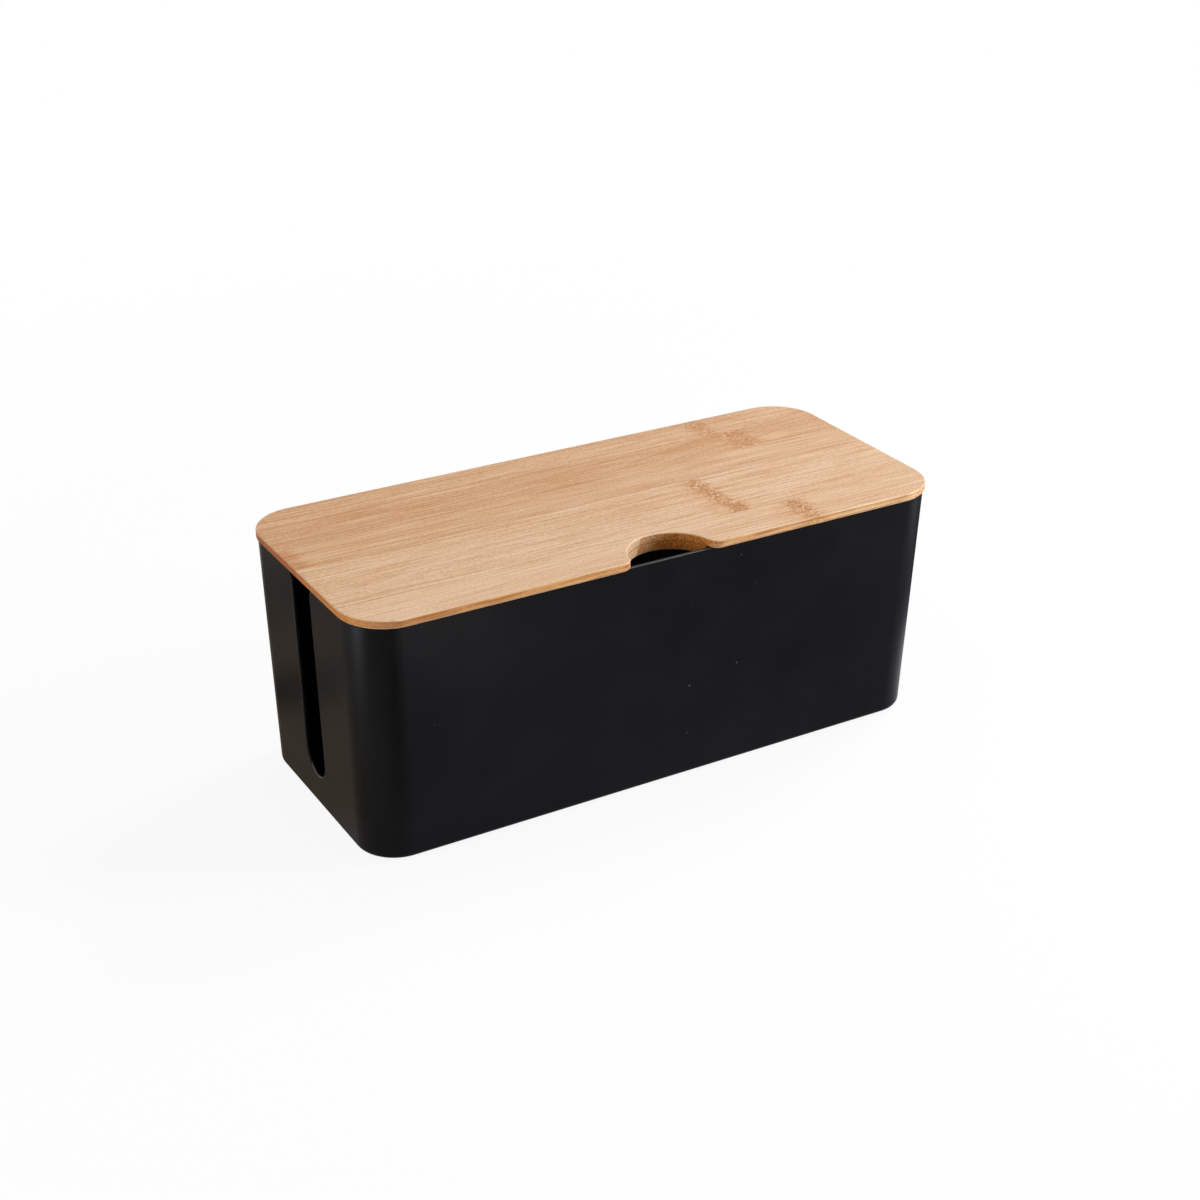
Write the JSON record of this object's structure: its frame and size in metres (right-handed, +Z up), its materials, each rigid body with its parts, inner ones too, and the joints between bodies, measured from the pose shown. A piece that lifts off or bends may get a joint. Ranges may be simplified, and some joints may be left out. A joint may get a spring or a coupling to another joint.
{
  "type": "cable management box",
  "caption": "Long open-top plastic box with cable slots in both ends, closed by a lift-off bamboo lid with a half-round notch in its front edge.",
  "frame": {"origin": "on the surface the feet stand on, under the middle of the box", "axes": "+X along the box, -Y the front with the notch, +Z up out of the lid"},
  "size_m": [0.32, 0.136, 0.1272],
  "materials": {
    "tub_plastic": "satin moulded black plastic",
    "bamboo": "sanded bamboo with a thin clear seal",
    "foot_rubber": "matte black rubber"
  },
  "bodies": {
    "box": {"tub": "tub_plastic", "foot_front_left": "foot_rubber", "foot_front_right": "foot_rubber", "foot_rear_left": "foot_rubber", "foot_rear_right": "foot_rubber"},
    "lid": {"lid_plate_stave_1": "bamboo", "lid_plate_stave_2": "bamboo", "lid_plate_stave_3": "bamboo", "lid_plate_stave_4": "bamboo", "lid_plate_stave_5": "bamboo", "lid_plate_stave_6": "bamboo", "lid_plug_stave_1": "bamboo", "lid_plug_stave_2": "bamboo", "lid_plug_stave_3": "bamboo", "lid_plug_stave_4": "bamboo", "lid_plug_stave_5": "bamboo", "lid_plug_stave_6": "bamboo"}
  },
  "joints": [
    {"name": "lid_lift", "type": "slide", "parent": "box", "child": "lid", "axis": [0, 0, 1], "range_m": [0, 0.15]}
  ]
}
